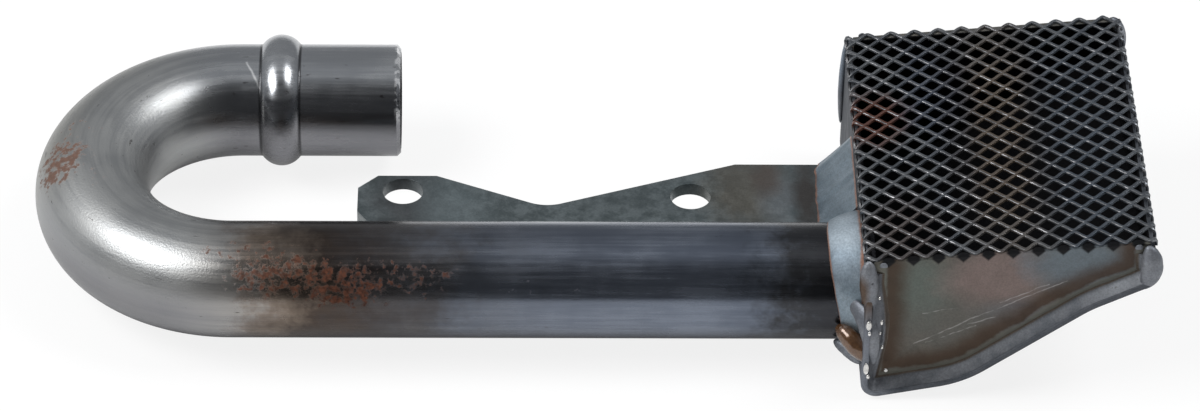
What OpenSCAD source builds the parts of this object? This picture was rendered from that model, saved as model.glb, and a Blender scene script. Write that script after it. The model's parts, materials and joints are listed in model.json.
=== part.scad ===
// Oil pickup tube: a bent suction tube with a rolled bead, a bolt-on bracket and a
// folded strainer scoop closed by an expanded-metal screen, all joined by welds.
// Millimetres. +X runs along the tube towards the scoop, +Z is the screen side.
// The origin is midway between the two bolt holes, on the bracket's mating face.

/* [Tube] */
// Outside diameter of the tube
tube_od = 25.4; // [20:0.1:30]
// Wall of the tube
tube_wall = 1.6; // [1:0.1:2.5]
// Radius of the half-turn bend, at the tube's centre line
bend_r = 32.2; // [28:0.1:40]
// Straight pickup leg, from the bend to the scoop's end wall
pickup_len = 136.4; // [115:0.1:170]
// Straight outlet leg, from the bend to its open mouth
outlet_len = 35.6; // [24:0.1:60]
// Distance of the bead's middle from the bend
bead_at = 8.5; // [6:0.1:12]
// Width of the rolled bead
bead_w = 8.6; // [5:0.1:10]
// Height of the bead above the tube
bead_h = 2.2; // [1:0.1:3]
// Chamfer on the outlet's mouth
mouth_chamfer = 0.8; // [0.2:0.1:1.2]
// Length of tube that stands inside the scoop
tube_stub = 1.2; // [0.5:0.1:4]

/* [Bracket] */
// Thickness of the bracket plate
bracket_t = 3; // [2:0.1:5]
// Diameter of the two bolt holes
bolt_d = 9; // [6:0.1:11]
// First bolt hole, distance from the bend along the tube
bolt_a_x = 36.7; // [32:0.1:44]
// First bolt hole, distance from the tube's centre line
bolt_a_y = 29.05; // [26:0.05:34]
// Distance between the bolt holes along the tube
bolt_pitch = 63.8; // [56:0.1:70]
// Second bolt hole, distance from the tube's centre line
bolt_b_y = 27.5; // [25:0.05:33]
// Length of the first ear beyond its bolt hole
ear_reach = 10; // [8:0.1:12]
// Depth of the first ear behind its bolt hole
ear_back = 5.6; // [5.6:0.1:9]
// Chamfer on the first ear's rear corner
ear_chamfer = 4.4; // [2:0.1:6]
// Straight rear edge of the first ear
ear_flat = 13; // [8:0.1:16]
// Depth of the first ear's end in front of its bolt hole
ear_front = 7; // [4:0.1:10]
// Length by which the first ear is cut back at the tube
ear_cut = 6; // [0:0.1:8]
// Width of the plate left at its waist, from the tube's side
waist_w = 10.9; // [6:0.1:12]
// Distance of the waist from the first bolt hole along the tube
waist_at = 31.6; // [27:0.1:36]
// Radius at the bottom of the waist
waist_r = 9; // [4:0.1:14]
// Depth of the second ear behind its bolt hole
shoulder_back = 11.6; // [8:0.1:14]
// Distance of the second ear's corner past its bolt hole
shoulder_at = 10.3; // [8:0.1:14]

/* [Scoop] */
// Length of the scoop, end wall to tip wall, outside
scoop_len = 61.6; // [56:0.1:70]
// Width of the scoop over its side plates
scoop_w = 81.2; // [60:0.1:100]
// Distance of the near side plate's outer face from the tube's centre line
near_set = 17; // [16.5:0.1:24]
// Thickness of the scoop's sheet steel
sheet_t = 1.6; // [1:0.1:2]
// Width of the strip that stands out past each side plate
lip_w = 3; // [2:0.1:5]
// Height of the rim above the tube's centre line, at the end wall
rim_h = 15.8; // [15.5:0.1:20]
// Angle at which the rim climbs towards the tip
rim_rise = 5.5; // [0:0.1:8]
// Depth of the end wall's foot below the tube's centre line
floor_drop = 17.1; // [16:0.1:20]
// Slope of the floor beside the end wall
floor_slope = 12; // [8:0.5:15]
// Slope of the ramp
ramp_slope = 38; // [34:0.5:40]
// Slope of the floor beside the tip
tip_slope = 28; // [24:0.5:31]
// Start of the ramp, measured from the end wall
ramp_at = 22.2; // [19:0.1:25]
// End of the ramp, measured from the end wall
crest_at = 48.4; // [44:0.1:50]
// Outer radius of the folds at the end wall and the tip
fold_r = 3.4; // [2.8:0.1:5]
// Outer radius of the bend at the foot of the ramp
ramp_r = 24; // [12:0.5:28]
// Radius of the bend at the top of the ramp
crest_r = 26; // [12:0.5:30]
// Gap between the tube and the hole in the end wall
tube_gap = 0.15; // [0.05:0.05:0.3]

/* [Screen] */
// Thickness of the expanded metal
screen_t = 1; // [0.6:0.1:1.4]
// Nominal pitch of the openings across the tube's direction
pitch_y = 5.16; // [4.6:0.02:6.4]
// Nominal pitch of the openings along the tube's direction
pitch_x = 5.36; // [4.6:0.02:6.4]
// Width of a bond between two openings in a row
bond_w = 1.6; // [1.2:0.1:2]
// Width of a strand, measured across the row
strand_w = 0.98; // [0.7:0.02:1.2]
// Flat at the point of an opening
point_w = 0.8; // [0.4:0.1:1.2]

/* [Welds] */
// Leg of the fillet round the tube, along the tube
ring_leg = 6.5; // [4:0.1:9]
// Leg of the fillet round the tube, up the end wall
ring_rise = 2.6; // [1.5:0.1:3]
// Extra thickness of the second pass under the tube
second_pass = 2; // [1:0.1:2.6]
// Leg of the bracket's end fillet, along the bracket
end_leg = 8; // [4:0.1:10]
// Leg of the bracket's end fillet, up the end wall
end_rise = 9; // [4:0.1:11]
// Leg of the fillets between bracket and tube
stitch_leg = 3; // [2:0.1:3.6]
// Length of each fillet between bracket and tube
stitch_len = 24; // [12:0.5:26]
// Leg of the scoop's seam fillets, up the side plate
seam_leg = 2.4; // [1.2:0.1:3.5]
// Bare edge of the lip outside a seam fillet
lip_bare = 0.5; // [0.2:0.1:1]
// Radius of a tack weld on the screen
tack_r = 2.2; // [1.5:0.1:3]
// Height of a tack weld
tack_h = 1.2; // [0.6:0.1:1.5]

/* [Hidden] */
$fn = 96;

// Tube
tube_r = tube_od / 2;
bore_r = tube_r - tube_wall;
bead_arc_r = (bead_h * bead_h + bead_w * bead_w / 4) / (2 * bead_h);
bead_ring_r = tube_r + bead_h - bead_arc_r;
outlet_y = 2 * bend_r;

// Bracket, seen from above: x from the bend, y from the tube's centre line
bolt_a = [bolt_a_x, bolt_a_y];
bolt_b = [bolt_a_x + bolt_pitch, bolt_b_y];
bolt_mid = (bolt_a + bolt_b) / 2;
ear_x = bolt_a[0] - ear_reach;
ear_y = bolt_a[1] + ear_back;
ear_end = [ear_x + ear_chamfer + ear_flat, ear_y];
waist = [bolt_a[0] + waist_at, tube_r + waist_w];
shoulder = bolt_b + [shoulder_at, shoulder_back];
bracket_top = bracket_t / 2;

// Scoop in section: x from the end wall's outer face, z from the tube's centre line
ramp_foot = [ramp_at, ramp_at * tan(floor_slope) - floor_drop];
crest = ramp_foot + (crest_at - ramp_at) * [1, tan(ramp_slope)];
tip_foot = crest + (scoop_len - crest_at) * [1, tan(tip_slope)];
near_y = -near_set;
far_y = near_y + scoop_w;
arc_steps = 10;
least_r = 0.2;

function rim_z(x) = rim_h + x * tan(rim_rise);

// Corners of the strip's outer surface from rim to rim, and the bend radius at each
strip_corners = [[0, rim_z(0)], [0, -floor_drop], ramp_foot, crest, tip_foot, [scoop_len, rim_z(scoop_len)]];
strip_radii = [0, fold_r, ramp_r, crest_r, fold_r, 0];

// Screen lattice: whole numbers of half cells in each direction
screen_l = scoop_len / cos(rim_rise);
half_cols = round(2 * screen_l / pitch_x);
half_rows = round(2 * scoop_w / pitch_y);
half_x = screen_l / half_cols;
half_y = scoop_w / half_rows;
skirt_h = half_y;

// Welds
weld_crown = 1.4;
hollow_crown = 2.6;
second_start = 188;
second_sweep = 62;
tack_in = sheet_t + tack_r;

function heading(from, to) = atan2(to[1] - from[1], to[0] - from[0]);
function left_of(h) = [-sin(h), cos(h)];
function turn_between(h0, h1) = ((h1 - h0 + 540) % 360) - 180;
function reversed(list) = [for (i = [len(list) - 1 : -1 : 0]) list[i]];

// Arc of radius r in the corner of a line, tangent to both sides
function corner_arc(before, at, after, r) =
    let (
        h0 = heading(before, at),
        turn = turn_between(h0, heading(at, after)),
        rho = r * sign(turn),
        start = at - [cos(h0), sin(h0)] * r * tan(abs(turn) / 2),
        centre = start + rho * left_of(h0)
    )
    [for (k = [0 : arc_steps]) centre - rho * left_of(h0 + turn * k / arc_steps)];

// Corner of the line that runs a distance d to the left of both sides
function inset_corner(before, at, after, d) =
    let (h0 = heading(before, at), h1 = heading(at, after))
    at + d / (1 + cos(h1 - h0)) * (left_of(h0) + left_of(h1));

// The strip's outer surface moved inwards by d: tangent lines and arcs from rim to rim
function skin(d) =
    let (
        last = len(strip_corners) - 1,
        inner = [for (i = [1 : last - 1])
            inset_corner(strip_corners[i - 1], strip_corners[i], strip_corners[i + 1], d)],
        ends = [[d, rim_z(d)], [scoop_len - d, rim_z(scoop_len - d)]],
        line = concat([ends[0]], inner, [ends[1]])
    )
    concat(
        [ends[0]],
        [for (i = [1 : last - 1])
            let (turn = turn_between(heading(line[i - 1], line[i]), heading(line[i], line[i + 1])))
            each corner_arc(line[i - 1], line[i], line[i + 1],
                            max(least_r, strip_radii[i] - d * sign(turn)))],
        [ends[1]]);

// Outline of a slightly crowned fillet with legs a and b, from [a, 0] to [0, b]
function fillet_face(a, b, crown) =
    [for (t = [0 : 15 : 90]) [a * pow(cos(t), crown), b * pow(sin(t), crown)]];

// Moves from the tube's own frame to the bolt pattern's frame
module in_part_frame() {
    translate([-bolt_mid[0], -bolt_mid[1], bracket_top]) children();
}

// Stands a section drawn in x and z upright at the scoop, from y0 to y1
module across(y0, y1) {
    translate([pickup_len, y1, 0]) rotate([90, 0, 0]) linear_extrude(y1 - y0) children();
}

module along_x(x0, x1, r) {
    translate([x0, 0, 0]) rotate([0, 90, 0]) cylinder(r = r, h = x1 - x0);
}

// Everything inside the scoop's outer surface
module scoop_envelope() {
    across(near_y - lip_w, far_y + lip_w) polygon(skin(0));
}

module bead_ring(arc_r) {
    translate([bead_at, outlet_y, 0]) rotate([0, 90, 0])
        rotate_extrude() translate([bead_ring_r, 0]) circle(r = arc_r);
}

// A round bar along the tube's path that runs past both open ends by over
module tube_run(r, over) {
    along_x(0, pickup_len + sheet_t + tube_stub + over, r);
    translate([0, bend_r, 0]) rotate([0, 0, 90])
        rotate_extrude(angle = 180) translate([bend_r, 0]) circle(r = r);
    translate([0, outlet_y, 0]) along_x(0, outlet_len + over, r);
}

module mouth_cut() {
    translate([outlet_len - mouth_chamfer, outlet_y, 0]) rotate([0, 90, 0]) difference() {
        cylinder(r = 2 * tube_r, h = tube_r);
        translate([0, 0, mouth_chamfer - tube_r])
            cylinder(r1 = 2 * tube_r - mouth_chamfer, r2 = tube_r - mouth_chamfer, h = tube_r);
    }
}

module tube() {
    color([0.36, 0.38, 0.42]) in_part_frame() difference() {
        union() {
            tube_run(tube_r, 0);
            bead_ring(bead_arc_r);
        }
        tube_run(bore_r, tube_r);
        bead_ring(bead_arc_r - tube_wall);
        mouth_cut();
    }
}

// Plan of the plate; its near edge runs into the tube's outline and is coped to it
module bracket_plan() {
    polygon(concat(
        [[pickup_len, 0], [ear_x + ear_cut, 0], [ear_x + ear_cut, tube_r], [ear_x, bolt_a[1] - ear_front],
         [ear_x, ear_y - ear_chamfer], [ear_x + ear_chamfer, ear_y], ear_end],
        corner_arc(ear_end, waist, shoulder, waist_r),
        [shoulder, [pickup_len, shoulder[1]]]));
}

module bracket() {
    color([0.42, 0.43, 0.38]) in_part_frame() difference() {
        translate([0, 0, -bracket_top]) linear_extrude(bracket_t) bracket_plan();
        along_x(0, 2 * pickup_len, tube_r);
        for (bolt = [bolt_a, bolt_b])
            translate([bolt[0], bolt[1], -bracket_t]) cylinder(d = bolt_d, h = 2 * bracket_t);
    }
}

module scoop_strip() {
    color([0.46, 0.49, 0.52]) in_part_frame() difference() {
        across(near_y - lip_w, far_y + lip_w)
            polygon(concat(skin(0), reversed(skin(sheet_t))));
        along_x(pickup_len - tube_r, pickup_len + fold_r + sheet_t, tube_r + tube_gap);
    }
}

// Plate inside the strip; its upper edge stands above the rim and carries the screen
module side_plate(y0) {
    line = skin(sheet_t);
    up = skirt_h * [-sin(rim_rise), cos(rim_rise)];
    color([0.45, 0.41, 0.36]) in_part_frame() across(y0, y0 + sheet_t)
        polygon(concat([line[0] + up], line, [line[len(line) - 1] + up]));
}

module near_side_plate() {
    side_plate(near_y);
}

module far_side_plate() {
    side_plate(far_y - sheet_t);
}

// One opening of the expanded metal, a six-sided diamond
module opening() {
    w = half_x - bond_w / 2;
    h = half_y - strand_w;
    p = point_w / 2;
    polygon([[-w, 0], [-p, -h], [p, -h], [w, 0], [p, h], [-p, h]]);
}

// Openings over a block of half cells; every second lattice point is a bond instead
module openings(cols, rows, phase) {
    for (c = [0 : cols], r = [0 : rows])
        if ((c + r + phase) % 2 == 1) translate([c * half_x, r * half_y]) opening();
}

// Turned-down end, from the rim up to the fold; the lattice stands on its side here
module turned_end(phase) {
    rotate([90, 0, 90]) linear_extrude(screen_t) difference() {
        square([scoop_w, skirt_h]);
        translate([0, skirt_h]) rotate(-90) openings(1, half_rows, phase);
    }
}

// Sheet of expanded metal: its sides lie on the plates, and its ends are turned down onto the strip
module screen() {
    color([0.27, 0.28, 0.30]) in_part_frame()
        translate([pickup_len, near_y, rim_h]) rotate([0, -rim_rise, 0]) {
            translate([0, 0, skirt_h]) linear_extrude(screen_t) difference() {
                square([screen_l, scoop_w]);
                openings(half_cols, half_rows, 0);
            }
            turned_end(0);
            translate([screen_l - screen_t, 0, 0]) turned_end(half_cols);
        }
}

// Section of the fillet round the tube, grown by extra; y is the distance from the end wall
function ring_section(extra) =
    [for (p = fillet_face(ring_rise + extra, ring_leg + extra, weld_crown)) p + [tube_r, 0]];

// Turns a section about the tube's axis, set against the scoop's end wall
module round_tube(start, sweep) {
    difference() {
        translate([pickup_len, 0, 0]) rotate([0, -90, 0]) rotate([0, 0, start])
            rotate_extrude(angle = sweep) children();
        scoop_envelope();
        translate([0, 0, -bracket_top]) linear_extrude(bracket_t) bracket_plan();
    }
}

// Full fillet round the tube; it reaches down behind the end wall's rounded foot
module tube_weld() {
    color([0.50, 0.54, 0.58]) in_part_frame() round_tube(0, 360)
        polygon(concat([[tube_r, -fold_r], [tube_r + ring_rise, -fold_r]], ring_section(0)));
}

// Thick second pass on the lower near side, on top of the first
module tube_second_weld() {
    color([0.33, 0.26, 0.22]) in_part_frame() round_tube(second_start, second_sweep)
        polygon(concat([[tube_r + ring_rise, -fold_r], [tube_r + ring_rise + second_pass, -fold_r]],
                       ring_section(second_pass), reversed(ring_section(0))));
}

// Broad hollow fillet from the bracket's upper face to the end wall
module bracket_end_weld() {
    color([0.55, 0.59, 0.63]) in_part_frame()
        across(tube_r + ring_rise, shoulder[1])
            polygon([[0, bracket_top],
                     for (p = fillet_face(end_leg, end_rise, hollow_crown)) [-p[0], p[1] + bracket_top]]);
}

// Two short fillets in the corner between the tube and the bracket's upper face
module bracket_stitch_welds() {
    top = bracket_top + stitch_leg;
    color([0.40, 0.40, 0.41]) in_part_frame() difference() {
        for (x = [bolt_a[0], bolt_b[0] - stitch_len / 2])
            translate([x, 0, 0]) rotate([90, 0, 90]) linear_extrude(stitch_len)
                polygon([[0, bracket_top], [tube_r + stitch_leg, bracket_top],
                         [sqrt(tube_r * tube_r - top * top), top], [0, top]]);
        along_x(0, pickup_len, tube_r);
    }
}

// Fillet carried along the corner between a side plate and the strip's lip
module seam_weld(plate_y, side) {
    section = concat([[0, 0]], fillet_face(lip_w - lip_bare, seam_leg, weld_crown));
    m = len(section);
    lines = [for (p = section) skin(sheet_t + p[1])];
    n = len(lines[0]);
    points = [for (k = [0 : n - 1], j = [0 : m - 1])
        [lines[j][k][0] + pickup_len, plate_y + side * section[j][0], lines[j][k][1]]];
    quads = [for (k = [0 : n - 2], j = [0 : m - 1])
        [k * m + j, k * m + (j + 1) % m, (k + 1) * m + (j + 1) % m, (k + 1) * m + j]];
    ends = [[for (j = [m - 1 : -1 : 0]) j], [for (j = [0 : m - 1]) (n - 1) * m + j]];
    outward = concat([for (q = quads) each [[q[0], q[1], q[2]], [q[0], q[2], q[3]]]], ends);
    color([0.43, 0.42, 0.41]) in_part_frame()
        polyhedron(points, side < 0 ? outward : [for (f = outward) reversed(f)]);
}

module near_seam_weld() {
    seam_weld(near_y, -1);
}

module far_seam_weld() {
    seam_weld(far_y, 1);
}

// Round cap of weld metal standing on a flat face
module tack() {
    ball_r = (tack_r * tack_r + tack_h * tack_h) / (2 * tack_h);
    intersection() {
        translate([0, 0, tack_h - ball_r]) sphere(ball_r);
        cylinder(r = 2 * tack_r, h = 2 * tack_h);
    }
}

// Tacks that hold the screen to the side plates, one at each corner
module screen_tack_welds() {
    color([0.60, 0.57, 0.52]) in_part_frame()
        translate([pickup_len, near_y, rim_h]) rotate([0, -rim_rise, 0])
            for (x = [tack_in, screen_l - tack_in], far = [0, 1])
                translate([x, far * scoop_w, skirt_h]) rotate([far == 1 ? -90 : 90, 0, 0]) tack();
}

tube();
bracket();
scoop_strip();
near_side_plate();
far_side_plate();
screen();
tube_weld();
tube_second_weld();
bracket_end_weld();
bracket_stitch_welds();
near_seam_weld();
far_seam_weld();
screen_tack_welds();
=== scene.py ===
import json
import math

import bmesh
import bpy
import numpy as np
from mathutils import Matrix, Vector


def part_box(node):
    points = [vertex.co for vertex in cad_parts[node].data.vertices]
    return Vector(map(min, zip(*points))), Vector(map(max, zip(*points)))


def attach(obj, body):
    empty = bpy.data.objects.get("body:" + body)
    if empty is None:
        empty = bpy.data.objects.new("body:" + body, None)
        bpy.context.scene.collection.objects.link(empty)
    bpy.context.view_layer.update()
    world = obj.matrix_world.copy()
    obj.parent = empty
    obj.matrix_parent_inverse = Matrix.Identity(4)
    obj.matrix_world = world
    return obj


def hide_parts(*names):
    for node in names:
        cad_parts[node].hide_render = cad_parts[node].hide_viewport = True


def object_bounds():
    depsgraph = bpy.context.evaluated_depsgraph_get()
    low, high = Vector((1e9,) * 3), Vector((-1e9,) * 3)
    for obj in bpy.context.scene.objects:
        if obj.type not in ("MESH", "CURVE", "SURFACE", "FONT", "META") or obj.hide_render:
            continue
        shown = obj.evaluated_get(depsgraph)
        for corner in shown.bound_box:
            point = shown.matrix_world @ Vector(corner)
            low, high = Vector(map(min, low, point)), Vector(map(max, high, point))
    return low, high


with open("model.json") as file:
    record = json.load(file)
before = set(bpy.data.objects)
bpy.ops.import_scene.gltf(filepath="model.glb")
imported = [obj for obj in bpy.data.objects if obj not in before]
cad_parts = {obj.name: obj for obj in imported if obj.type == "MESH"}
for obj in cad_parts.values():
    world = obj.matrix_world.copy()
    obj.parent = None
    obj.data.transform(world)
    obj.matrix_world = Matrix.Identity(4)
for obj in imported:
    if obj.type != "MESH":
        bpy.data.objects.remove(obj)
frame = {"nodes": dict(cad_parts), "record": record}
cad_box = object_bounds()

MM = 0.001
ROOT = "root"

# Camera of the photograph: place in metres, the directions of its right and top, and its lens
CAMERA_AT = (-0.00932, -0.84406, 0.66929)
CAMERA_RIGHT = (0.9998, -0.0136, 0.0145)
CAMERA_UP = (-0.0029, 0.6215, 0.7834)
CAMERA_LENS = 145.33
SENSOR_WIDTH = 36.0

# Studio: half the floor's side, and the lamps' azimuth, elevation, distance, width, height and power
FLOOR_HALF = 4.0
LAMPS = [("left_box", -108, 50, 1.2, 0.75, 0.55, 13.0), ("right_box", 88, 57, 1.2, 0.5, 0.5, 7.0)]

# Tube, from the spigot mount and the tube's box
spigot = next(mount for mount in frame["record"]["mounts"] if mount["name"] == "outlet_spigot")
tube_low, tube_high = np.array(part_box("tube"))
TUBE_R = spigot["dims"]["r_mm"] * MM
TUBE_WALL = 1.6 * MM
MOUTH_CHAMFER = 0.8 * MM
BEAD_W = 8.6 * MM
BORE_FLAT = 0.6 * MM
OUTLET_AXIS = np.array(spigot["pos_m"])
AXIS_Z = OUTLET_AXIS[2]
PICKUP_Y = tube_low[1] + TUBE_R
BEND_R = (OUTLET_AXIS[1] - PICKUP_Y) / 2
BEND_CENTRE = np.array([tube_low[0] + BEND_R + TUBE_R, PICKUP_Y + BEND_R, AXIS_Z])
BEAD_H = tube_high[2] - AXIS_Z - TUBE_R
SPIGOT_L = spigot["dims"]["length_mm"] * MM
MOUTH_X = OUTLET_AXIS[0] + SPIGOT_L / 2 + MOUTH_CHAMFER
BEAD_X = OUTLET_AXIS[0] - SPIGOT_L / 2 - BEAD_W / 2
PICKUP_L = tube_high[0] - BEND_CENTRE[0]
OUTLET_L = MOUTH_X - BEND_CENTRE[0]

# Places along the tube, counted from the start of the bend; heat colours cover HEAT_L before it
HEAT_L = 140 * MM
BEND_L = math.pi * BEND_R
BEAD_S = BEND_L + BEAD_X - BEND_CENTRE[0]
MOUTH_S = BEND_L + OUTLET_L

# Scoop, from the boxes of its plates and its strip
strip_low, strip_high = np.array(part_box("scoop_strip"))
near_low, near_high = np.array(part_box("near_side_plate"))
WALL_X = strip_low[0]
TIP_X = strip_high[0]
NEAR_Y = near_low[1]
FAR_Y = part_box("far_side_plate")[1][1]
SCOOP_W = FAR_Y - NEAR_Y
SHEET_T = near_high[1] - near_low[1]
LIP_W = NEAR_Y - strip_low[1]

# Expanded metal; it lies a little inside the near plate's face and reaches past the far plate's
PITCH_X = 5.31 * MM
PITCH_Y = 5.19 * MM
LATTICE_SHIFT = 0.4 * MM
NEAR_INSET = 0.5 * MM
FAR_REACH = 0.4 * MM
STRAND_W = 0.92 * MM
STRAND_T = 0.45 * MM
STRAND_TILT = math.radians(12)
BURR = 0.15 * MM
ROUNDED = 0.55
NEAR_BOND = 1.12
BOND_SHARE = 0.93
# Way the burr faces look on strands that run down to the right; these faces get a painted highlight
PAINTED_GLINT_FACING = (-0.42, -0.57, 0.70)
FOLD_R = 0.9 * MM

# Ring weld: leg along the tube, its gain on top, rise on the wall, least leg, depth in wall and tube
RING_LEG = 4.7 * MM
RING_TOP = 2.7 * MM
RING_RISE = 2.7 * MM
RING_LEAST = 3 * MM
RING_IN_WALL = 0.5 * MM
RING_IN_TUBE = 0.6 * MM

# Bracket's welds: how far the end bead passes its box, then the stitches
END_BEAD_NEAR = 2.4 * MM
END_BEAD_FAR = 0.3 * MM
STITCH_LEG = 3.1 * MM
STITCH_L = 24 * MM
STITCH_END = 2.2 * MM
STITCH_INSET = 0.45 * MM
RIPPLE = 1.7 * MM

# Seams of the scoop: legs on the floor and at the end wall, ridge, gain at the tip, bare edge of the lip
FLOOR_LEG = 1.9 * MM
CORNER_LEG = 5.0 * MM
RIDGE_H = 1.1 * MM
TIP_EXTRA = 1.2 * MM
TIP_SPREAD = 5 * MM
LIP_BARE = 0.25 * MM

# Unevenness of beads, depth of their backs, height of spatter, a cap's share of its tack and its seat
UNEVEN = 0.4 * MM
SUNK = 0.4 * MM
SPATTER_H = 0.35 * MM
TACK_SHARE = 0.4
TACK_SEAT = 0.8


def link(name, data):
    """Puts a mesh, a lamp or a camera into the scene, at the origin."""
    piece = bpy.data.objects.new(name, data)
    bpy.context.scene.collection.objects.link(piece)
    return piece


def new_mesh(name, points, faces, sharp=40):
    """Mesh of points and faces, its faces turned outwards, smooth up to the angle sharp in degrees."""
    mesh = bpy.data.meshes.new(name)
    mesh.from_pydata(points.reshape(-1, 3).tolist(), [], faces)
    shell = bmesh.new()
    shell.from_mesh(mesh)
    bmesh.ops.recalc_face_normals(shell, faces=shell.faces)
    shell.to_mesh(mesh)
    shell.free()
    mesh.polygons.foreach_set("use_smooth", np.ones(len(mesh.polygons), bool))
    mesh.set_sharp_from_angle(angle=math.radians(sharp))
    return mesh


def note(mesh, name, values):
    """Stores a value or a vector for each point of a mesh, for its material."""
    values = np.asarray(values, np.float32)
    vector = values.size == 3 * len(mesh.vertices)
    attribute = mesh.attributes.new(name, "FLOAT_VECTOR" if vector else "FLOAT", "POINT")
    attribute.data.foreach_set("vector" if vector else "value", values.ravel())


def run_faces(loops, points, closed_path=False, first=0):
    """Faces of a run of loops of points; an open run gets a face over its first and its last loop."""
    i = np.arange(loops if closed_path else loops - 1)
    i, j = np.meshgrid(i, np.arange(points), indexing="ij")
    down = (i + 1) % loops
    right = (j + 1) % points
    corners = [i * points + j, down * points + j, down * points + right, i * points + right]
    faces = (np.stack(corners, -1).reshape(-1, 4) + first).tolist()
    if not closed_path:
        faces += [list(range(start, start + points)) for start in (first, first + (loops - 1) * points)]
    return faces


def loft(name, sections, toe, closed_path=False, sharp=70):
    """Closed skin through sections (stations, points, 3), each a loop; an open path gets two end faces.

    toe holds, for each point, how near it is to the edge of a bead: 1 at the edge, 0 in the middle.
    """
    mesh = new_mesh(name, sections, run_faces(*sections.shape[:2], closed_path), sharp)
    note(mesh, "toe", np.broadcast_to(toe, sections.shape[:2]))
    return link(name, mesh)


def finish_piece(piece, material, slot, *nodes):
    """Gives a piece its material and its ride, and hides the nodes that it stands for."""
    piece.data.materials.clear()
    piece.data.materials.append(material)
    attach(piece, ROOT)
    if nodes:
        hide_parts(*nodes)


def uneven(t, waves, seed):
    """Smooth random curve of t from 0 to 1: a mean of sines of 1 to waves periods with seeded phases."""
    draw = np.random.default_rng(seed)
    count = np.arange(1, waves + 1)
    phase = draw.uniform(0, 2 * np.pi, waves)
    weight = draw.uniform(0.4, 1.0, waves) / np.sqrt(count)
    total = np.sin(2 * np.pi * np.multiply.outer(t, count) + phase) @ weight
    return total / weight.sum()


def hump(t, centre, width):
    """Bell curve of height 1."""
    return np.exp(-((t - centre) / width) ** 2)


def unit(vectors):
    """Vectors of length 1."""
    return vectors / np.linalg.norm(vectors, axis=1, keepdims=True)


def carried(path, side, top, across, above):
    """Sections along a path; each point lies across times side and above times top from the path."""
    return path[:, None] + across[..., None] * side[:, None] + above[..., None] * top[:, None]


def tube_line(s):
    """Middle line of the tube and its outer side: straight, a half turn of radius BEND_R, straight back.

    s runs from the scoop to the mouth and is 0 where the bend starts.
    """
    turn = np.clip(s / BEND_R, 0, np.pi)
    flat = np.zeros_like(turn)
    side = np.stack([-np.sin(turn), -np.cos(turn), flat], -1)
    ahead = np.stack([-np.cos(turn), np.sin(turn), flat], -1)
    centre = BEND_CENTRE + BEND_R * side + ahead * (s - BEND_R * turn)[:, None]
    return centre, side


def bead_height(s):
    """Rolled bead: an arc of width BEAD_W and height BEAD_H."""
    x = s - BEAD_S
    arc = (BEAD_H ** 2 + BEAD_W ** 2 / 4) / (2 * BEAD_H)
    rise = np.sqrt(np.maximum(arc ** 2 - x ** 2, 0)) - (arc - BEAD_H)
    return np.maximum(rise, 0)


def tube_skin():
    """Tube wall as a closed loop of rings: out along its outside, round the mouth, back along the bore.

    Each ring is a circle about the middle line. The attribute "straight" holds where a point would lie
    if the tube were unbent: the distance along it, then across it.
    """
    shoulder = MOUTH_S - MOUTH_CHAMFER
    leg = np.linspace(-PICKUP_L, 0, 90, endpoint=False)
    bend = np.linspace(0, BEND_L, 150, endpoint=False)
    outlet = np.linspace(BEND_L, shoulder, 190)
    s_out = np.concatenate([leg, bend, outlet, [MOUTH_S - MOUTH_CHAMFER / 2, MOUTH_S]])
    r_out = TUBE_R + bead_height(s_out) - np.maximum(s_out - shoulder, 0)
    s_in = s_out[::-2]
    r_in = TUBE_R - TUBE_WALL + np.maximum(bead_height(s_in) - BORE_FLAT, 0)
    s = np.concatenate([s_out, s_in])
    r = np.concatenate([r_out, r_in])
    angle = np.linspace(0, 2 * np.pi, 112, endpoint=False)
    centre, side = tube_line(s)
    across = r[:, None] * np.cos(angle)
    above = r[:, None] * np.sin(angle)
    points = carried(centre, side, np.array([[0, 0, 1]]), across, above)
    mesh = new_mesh("tube_skin", points, run_faces(len(s), len(angle), True))
    along = np.broadcast_to(s[:, None], across.shape)
    note(mesh, "straight", np.stack([along, across, above], -1).reshape(-1, 3))
    return link("tube_skin", mesh)


def eased(node, width):
    """Copy of a node's solid with its corners joined and its sharp edges rounded by width."""
    mesh = frame["nodes"][node].data.copy()
    shell = bmesh.new()
    shell.from_mesh(mesh)
    bmesh.ops.remove_doubles(shell, verts=shell.verts, dist=1e-6)
    bmesh.ops.dissolve_limit(shell, angle_limit=math.radians(0.1), verts=shell.verts, edges=shell.edges)
    shell.to_mesh(mesh)
    shell.free()
    mesh.polygons.foreach_set("use_smooth", np.ones(len(mesh.polygons), bool))
    piece = link(node + "_eased", mesh)
    bevel = piece.modifiers.new("eased_edges", "BEVEL")
    bevel.width = width
    bevel.segments = 4
    bevel.limit_method = "ANGLE"
    bevel.angle_limit = math.radians(38)
    bevel.harden_normals = True
    return piece


def node_points(node):
    """Corners of a node's solid."""
    mesh = frame["nodes"][node].data
    points = np.empty(len(mesh.vertices) * 3)
    mesh.vertices.foreach_get("co", points)
    return points.reshape(-1, 3)


def plate_outline(node):
    """Outline of a side plate in x and z, from the seat at the end wall round the floor to the tip."""
    flat = np.unique(node_points(node)[:, [0, 2]].round(6), axis=0)
    middle = flat.mean(0)
    angle = np.arctan2(flat[:, 1] - middle[1], flat[:, 0] - middle[0])
    left = flat[flat[:, 0] < flat[:, 0].min() + 0.1 * MM]
    start = left[left[:, 1].argmax()]
    first = math.atan2(start[1] - middle[1], start[0] - middle[0])
    order = np.argsort((angle - first + 1e-6) % (2 * np.pi))
    return flat[order]


def evenly(line, count):
    """Points spaced evenly along a polyline, its unit direction at each, and its length."""
    step = np.linalg.norm(np.diff(line, axis=0), axis=1)
    length = np.concatenate([[0], np.cumsum(step)])
    at = np.linspace(0, length[-1], count)
    points = np.stack([np.interp(at, length, line[:, k]) for k in range(line.shape[1])], -1)
    return points, unit(np.gradient(points, axis=0)), length[-1]


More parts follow.
